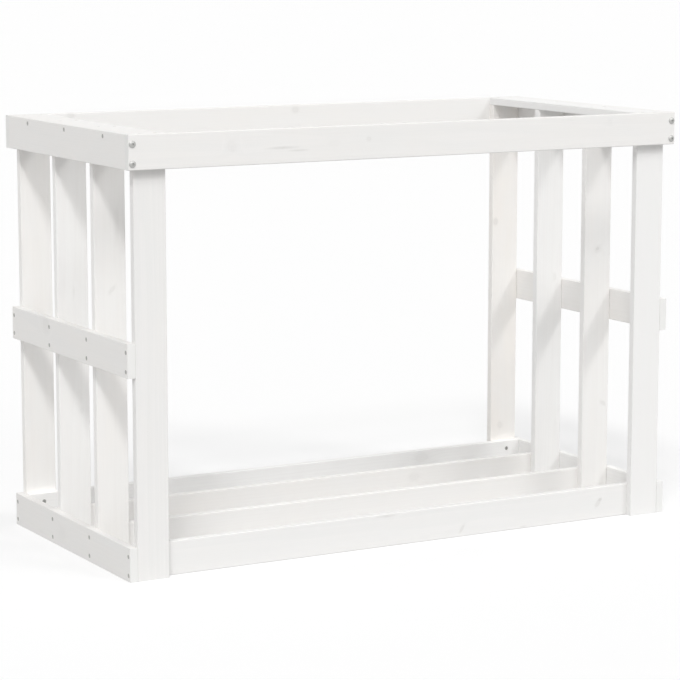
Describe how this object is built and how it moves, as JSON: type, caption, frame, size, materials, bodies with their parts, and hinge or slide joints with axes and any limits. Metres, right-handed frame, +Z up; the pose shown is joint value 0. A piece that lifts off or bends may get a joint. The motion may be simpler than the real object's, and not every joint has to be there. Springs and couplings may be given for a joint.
{
  "type": "log store",
  "caption": "Open rack of painted boards for stacking firewood, with slatted ends, long top rails and base boards on edge, open at front, back and top.",
  "frame": {"origin": "centre of the footprint on the floor", "axes": "+Z up, +X along the width, -Y towards the front"},
  "size_m": [1.08, 0.5256, 0.74],
  "materials": {
    "painted_pine": "thin white paint over planed pine, grain and knots showing faintly",
    "zinc_plated_steel": "bright zinc plating"
  },
  "bodies": {
    "root": {"left_rear_post": "painted_pine", "left_rear_slat": "painted_pine", "left_front_slat": "painted_pine", "left_front_post": "painted_pine", "right_rear_post": "painted_pine", "right_rear_slat": "painted_pine", "right_front_slat": "painted_pine", "right_front_post": "painted_pine", "left_top_rail": "painted_pine", "left_middle_rail": "painted_pine", "left_bottom_rail": "painted_pine", "left_cap_board": "painted_pine", "right_top_rail": "painted_pine", "right_middle_rail": "painted_pine", "right_bottom_rail": "painted_pine", "right_cap_board": "painted_pine", "front_top_rail": "painted_pine", "rear_top_rail": "painted_pine", "rear_base_board": "painted_pine", "rear_centre_base_board": "painted_pine", "front_centre_base_board": "painted_pine", "front_base_board": "painted_pine", "front_corner_screws": "zinc_plated_steel", "rear_corner_screws": "zinc_plated_steel", "left_middle_rail_screws": "zinc_plated_steel", "left_bottom_rail_screws": "zinc_plated_steel", "left_cap_edge_screws": "zinc_plated_steel", "left_cap_face_screws": "zinc_plated_steel", "right_middle_rail_screws": "zinc_plated_steel", "right_bottom_rail_screws": "zinc_plated_steel", "right_cap_edge_screws": "zinc_plated_steel", "right_cap_face_screws": "zinc_plated_steel", "rear_base_screws": "zinc_plated_steel", "rear_centre_base_screws": "zinc_plated_steel", "front_centre_base_screws": "zinc_plated_steel", "front_base_screws": "zinc_plated_steel"}
  },
  "joints": []
}
